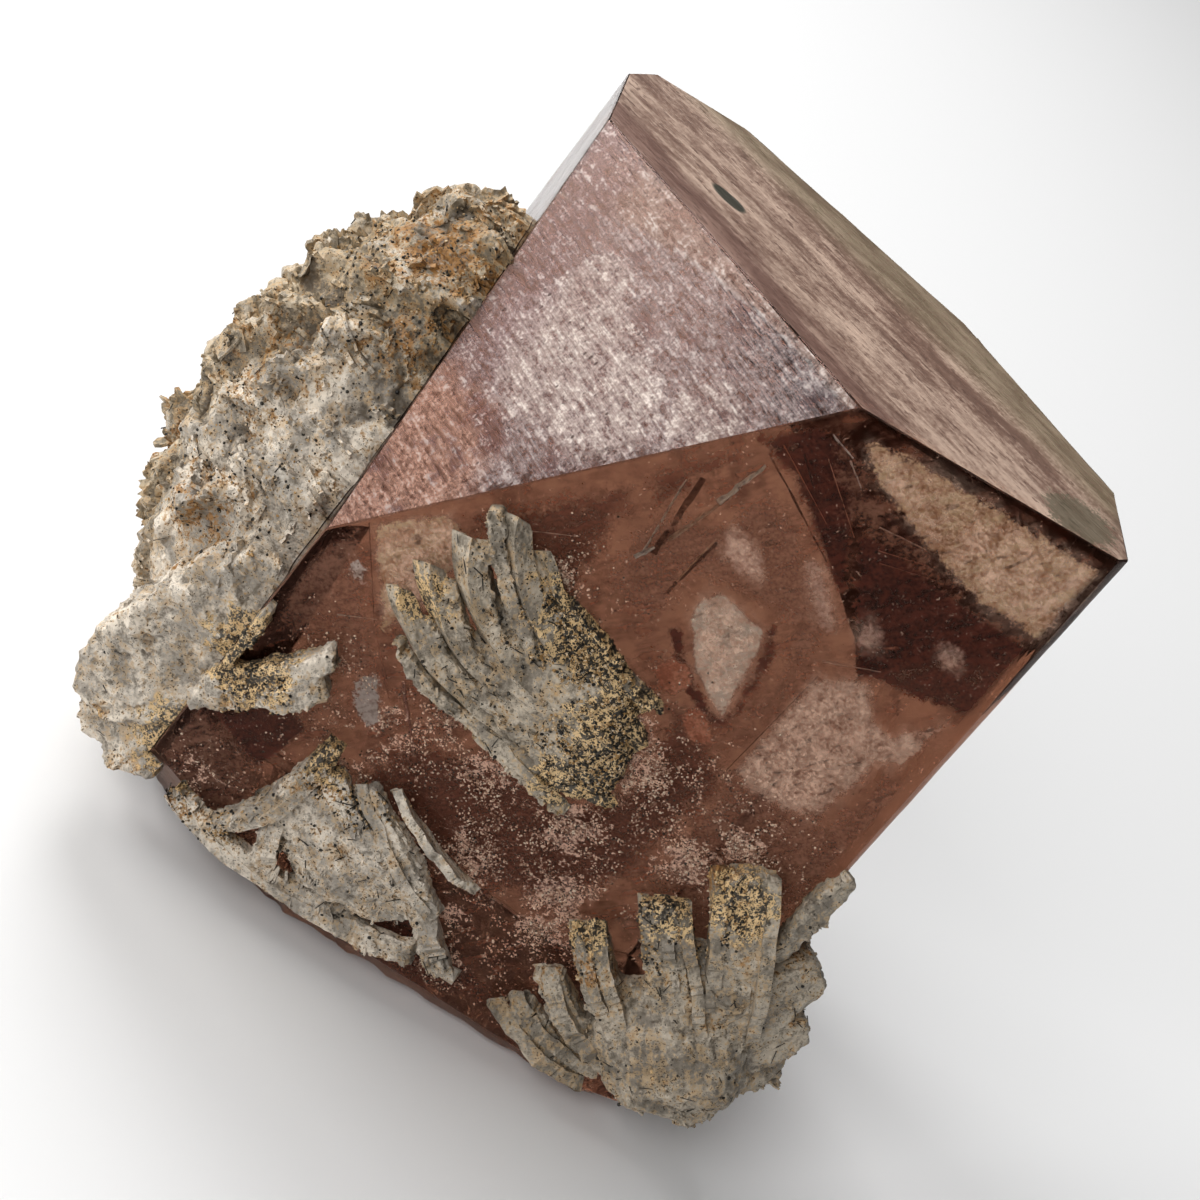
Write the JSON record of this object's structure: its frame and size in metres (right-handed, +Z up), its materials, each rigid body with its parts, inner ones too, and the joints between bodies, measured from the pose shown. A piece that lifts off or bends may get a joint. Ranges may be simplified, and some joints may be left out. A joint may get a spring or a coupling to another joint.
{
  "type": "topaz crystal specimen",
  "caption": "Blocky see-through topaz crystal standing on its broken base, with clusters of bladed albite grown on its sides.",
  "frame": {"origin": "middle of the whole specimen's footprint, on the surface that it stands on", "axes": "+Z up along the crystal's long axis, -Y towards the broad front prism face, +X to the right of it"},
  "size_m": [0.0464, 0.0262, 0.044],
  "materials": {
    "topaz": "clear pinkish brown crystal, etched on its upper faces",
    "albite": "satin grey-white blades with ochre stains and black grains"
  },
  "bodies": {
    "root": {"topaz_crystal": "topaz", "albite_rosette": "albite", "albite_centre": "albite", "albite_lower": "albite", "albite_corner": "albite"}
  },
  "joints": []
}
